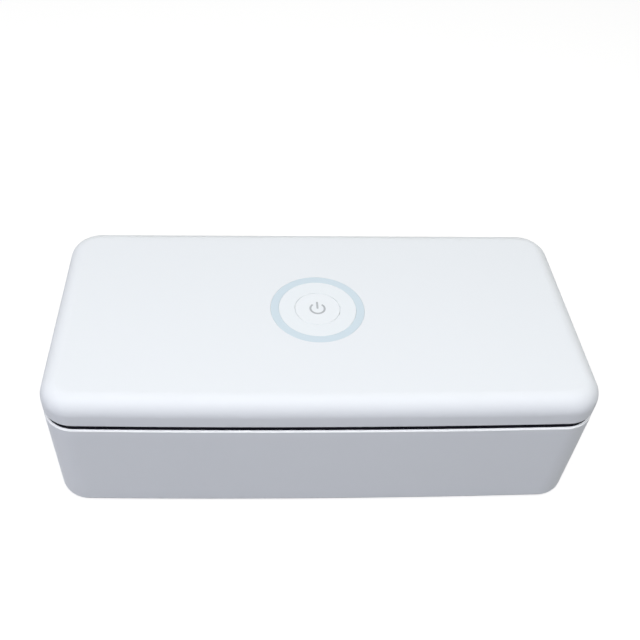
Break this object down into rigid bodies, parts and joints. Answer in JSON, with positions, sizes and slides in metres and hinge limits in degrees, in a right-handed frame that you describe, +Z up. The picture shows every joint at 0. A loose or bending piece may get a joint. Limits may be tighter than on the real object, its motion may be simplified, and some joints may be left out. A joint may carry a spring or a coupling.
{
  "type": "uv sanitizer box for phones",
  "caption": "Rounded rectangular box with a rear-hinged lid, a sealed lamp chamber and wire rack for a phone, and a round push button inside a pale light ring on the lid.",
  "frame": {"origin": "centre of the footprint, on the surface that the feet stand on", "axes": "+X to the right along the long side, +Y to the hinge side at the rear, +Z up"},
  "size_m": [0.23, 0.1188, 0.068],
  "materials": {
    "shell_plastic": "satin white moulding",
    "inner_panel": "smooth white moulding",
    "cover_plastic": "fine matt white moulding",
    "seal_rubber": "soft black rubber",
    "foot_rubber": "matt grey rubber",
    "clear_foot": "translucent silicone",
    "chamber_metal": "satin polished sheet",
    "bright_wire": "bright drawn wire",
    "steel": "plated steel",
    "magnet_nickel": "nickel plated",
    "gold_contact": "gold plated pins",
    "board_green": "solder mask",
    "board_white": "white solder mask",
    "chip_black": "moulded chip case",
    "lamp_ceramic": "chip carrier with a yellow die",
    "lamp_glass": "clear quartz",
    "core_ferrite": "wound ferrite, dark",
    "can_aluminium": "drawn can",
    "header_nylon": "natural nylon",
    "cable_jacket": "soft black jacket",
    "lead_jacket": "soft pale jacket",
    "ring_diffuser": "pale blue diffuser",
    "bezel_plastic": "satin white moulding",
    "button_plastic": "satin white moulding",
    "symbol_print": "light grey inlay"
  },
  "bodies": {
    "base": {"base_shell": "shell_plastic", "bottom_cover": "cover_plastic", "case_screws": "steel", "rubber_feet": "foot_rubber", "chamber_tub": "chamber_metal", "rim_seal": "seal_rubber", "base_lamp_board": "board_white", "base_lamp_chips": "lamp_ceramic", "base_lamp_lenses": "lamp_glass", "base_lamp_screws": "steel", "driver_board": "board_green", "driver_screws": "steel", "driver_inductor": "core_ferrite", "driver_capacitors": "can_aluminium", "driver_chip": "chip_black", "cable_headers": "header_nylon", "usb_socket_shell": "steel", "usb_socket_tongue": "gold_contact", "base_magnets": "magnet_nickel", "lid_sensor_board": "board_green", "lid_sensor_chip": "chip_black", "hinge_pins": "steel", "base_cable": "cable_jacket", "base_lamp_leads": "lead_jacket", "sensor_leads": "lead_jacket"},
    "rack": {"phone_rack": "bright_wire", "rack_feet": "clear_foot"},
    "lid": {"lid_shell": "shell_plastic", "lid_panel": "inner_panel", "lid_panel_screws": "steel", "light_ring": "ring_diffuser", "button_bezel": "bezel_plastic", "button_board": "board_green", "button_board_screws": "steel", "tact_switch": "chip_black", "ring_leds": "lamp_ceramic", "lid_header": "header_nylon", "lid_lamp_board_left": "board_white", "lid_lamp_board_right": "board_white", "lid_lamp_chips": "lamp_ceramic", "lid_lamp_lenses": "lamp_glass", "lid_lamp_screws": "steel", "lid_magnets": "magnet_nickel", "sensor_magnet": "magnet_nickel", "lid_cable": "cable_jacket", "lid_lamp_leads": "lead_jacket"},
    "button": {"power_button": "button_plastic", "power_symbol": "symbol_print", "switch_plunger": "chip_black"}
  },
  "joints": [
    {"name": "lid_hinge", "type": "hinge", "parent": "base", "child": "lid", "pos_m": [0, 0.05556, 0.0535], "axis": [-1, 0, 0], "range_deg": [0, 100]},
    {"name": "rack_lift", "type": "slide", "parent": "base", "child": "rack", "axis": [0, 0, -1], "range_m": [-0.02, 0]},
    {"name": "button_press", "type": "slide", "parent": "lid", "child": "button", "axis": [0, 0, -1], "range_m": [0, 0.0006], "stiffness_N_per_m": 2000, "springref_m": -0.0004}
  ]
}
